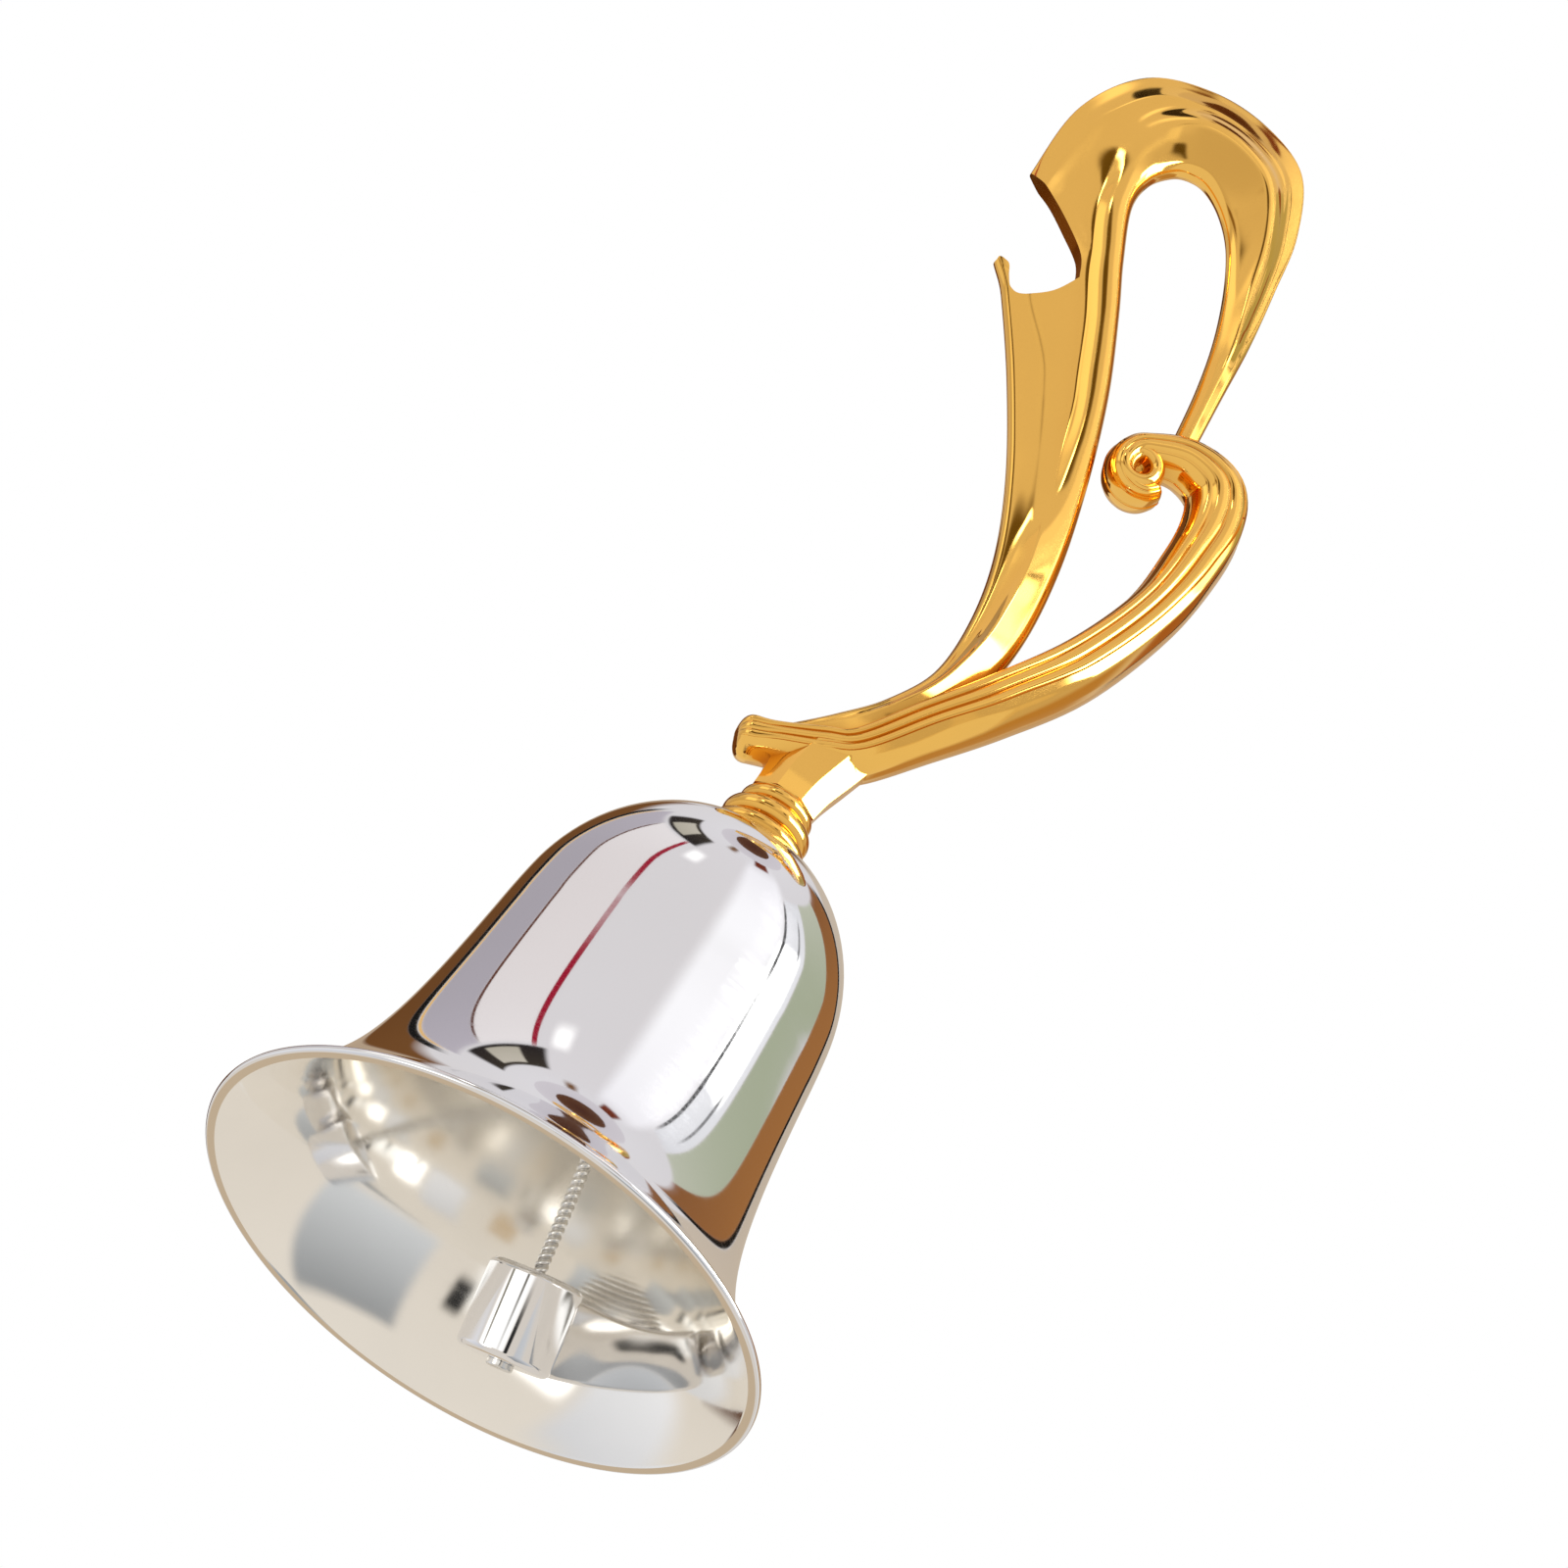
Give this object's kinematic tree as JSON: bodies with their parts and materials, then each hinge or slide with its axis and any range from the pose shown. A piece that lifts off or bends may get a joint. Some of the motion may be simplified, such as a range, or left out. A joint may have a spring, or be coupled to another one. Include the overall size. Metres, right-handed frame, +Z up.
{
  "type": "hand bell",
  "caption": "Small hand bell: a flared silver-plated cup with a cast gilt scroll handle on a beaded collar, and a clapper weight that swings on a wire stem and link.",
  "frame": {"origin": "centre of the bell's mouth, in the plane of the rim that it stands on", "axes": "+Z up the bell's axis to the handle; X in the plane of the handle's scroll, +X on the side of the arm; +Y away from the side seen in the picture"},
  "size_m": [0.065, 0.065, 0.1719],
  "materials": {
    "silver_plate": "mirror polished plate",
    "gold_plate": "mirror polished gilt casting",
    "bright_steel": "bright drawn wire"
  },
  "bodies": {
    "bell": {"bell_shell": "silver_plate", "seat_ring": "gold_plate", "collar": "gold_plate", "handle": "gold_plate", "eye_bolt": "bright_steel", "crown_washer": "bright_steel", "crown_nut": "bright_steel"},
    "link": {"link_ring": "bright_steel"},
    "clapper": {"clapper_stem": "bright_steel", "clapper_weight": "silver_plate"}
  },
  "joints": [
    {"name": "link_swing", "type": "hinge", "parent": "bell", "child": "link", "pos_m": [0, 0, 0.04612], "axis": [-0.9135, -0.4067, 0], "range_deg": [0, 37.96]},
    {"name": "clapper_swing", "type": "hinge", "parent": "link", "child": "clapper", "pos_m": [-0.00045, 0.00101, 0.0429], "axis": [-0.3846, 0.8639, 0.3253], "range_deg": [0, 37.96]}
  ]
}
